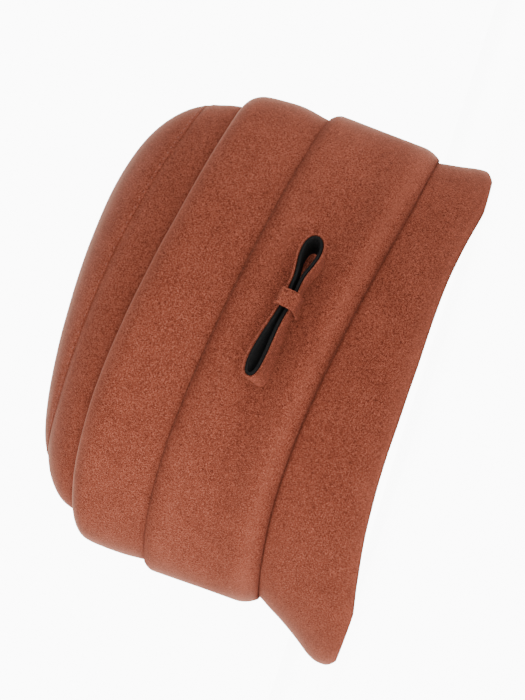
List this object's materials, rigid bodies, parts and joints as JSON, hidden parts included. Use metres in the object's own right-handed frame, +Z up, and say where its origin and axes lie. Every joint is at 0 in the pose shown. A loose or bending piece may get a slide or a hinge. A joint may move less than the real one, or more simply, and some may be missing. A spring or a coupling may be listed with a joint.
{
  "type": "cloche hat",
  "caption": "Felt cloche hat with an oval tip, two folded tiers, a brim flared at the front and a small lined bow on the left side.",
  "frame": {"origin": "on the table, under the middle of the hat's box with its bow", "axes": "+Z up through the crown, -Y the way the wearer faces, +X to the wearer's left, where the bow is"},
  "size_m": [0.201, 0.2404, 0.1645],
  "materials": {
    "rust_felt": "matt brushed wool felt",
    "black_felt": "matt wool felt"
  },
  "bodies": {
    "root": {"crown_tip": "rust_felt", "crown_side": "rust_felt", "upper_fold": "rust_felt", "lower_fold": "rust_felt", "brim": "rust_felt", "bow_loops": "rust_felt", "bow_lining": "black_felt", "bow_keeper": "rust_felt"}
  },
  "joints": []
}
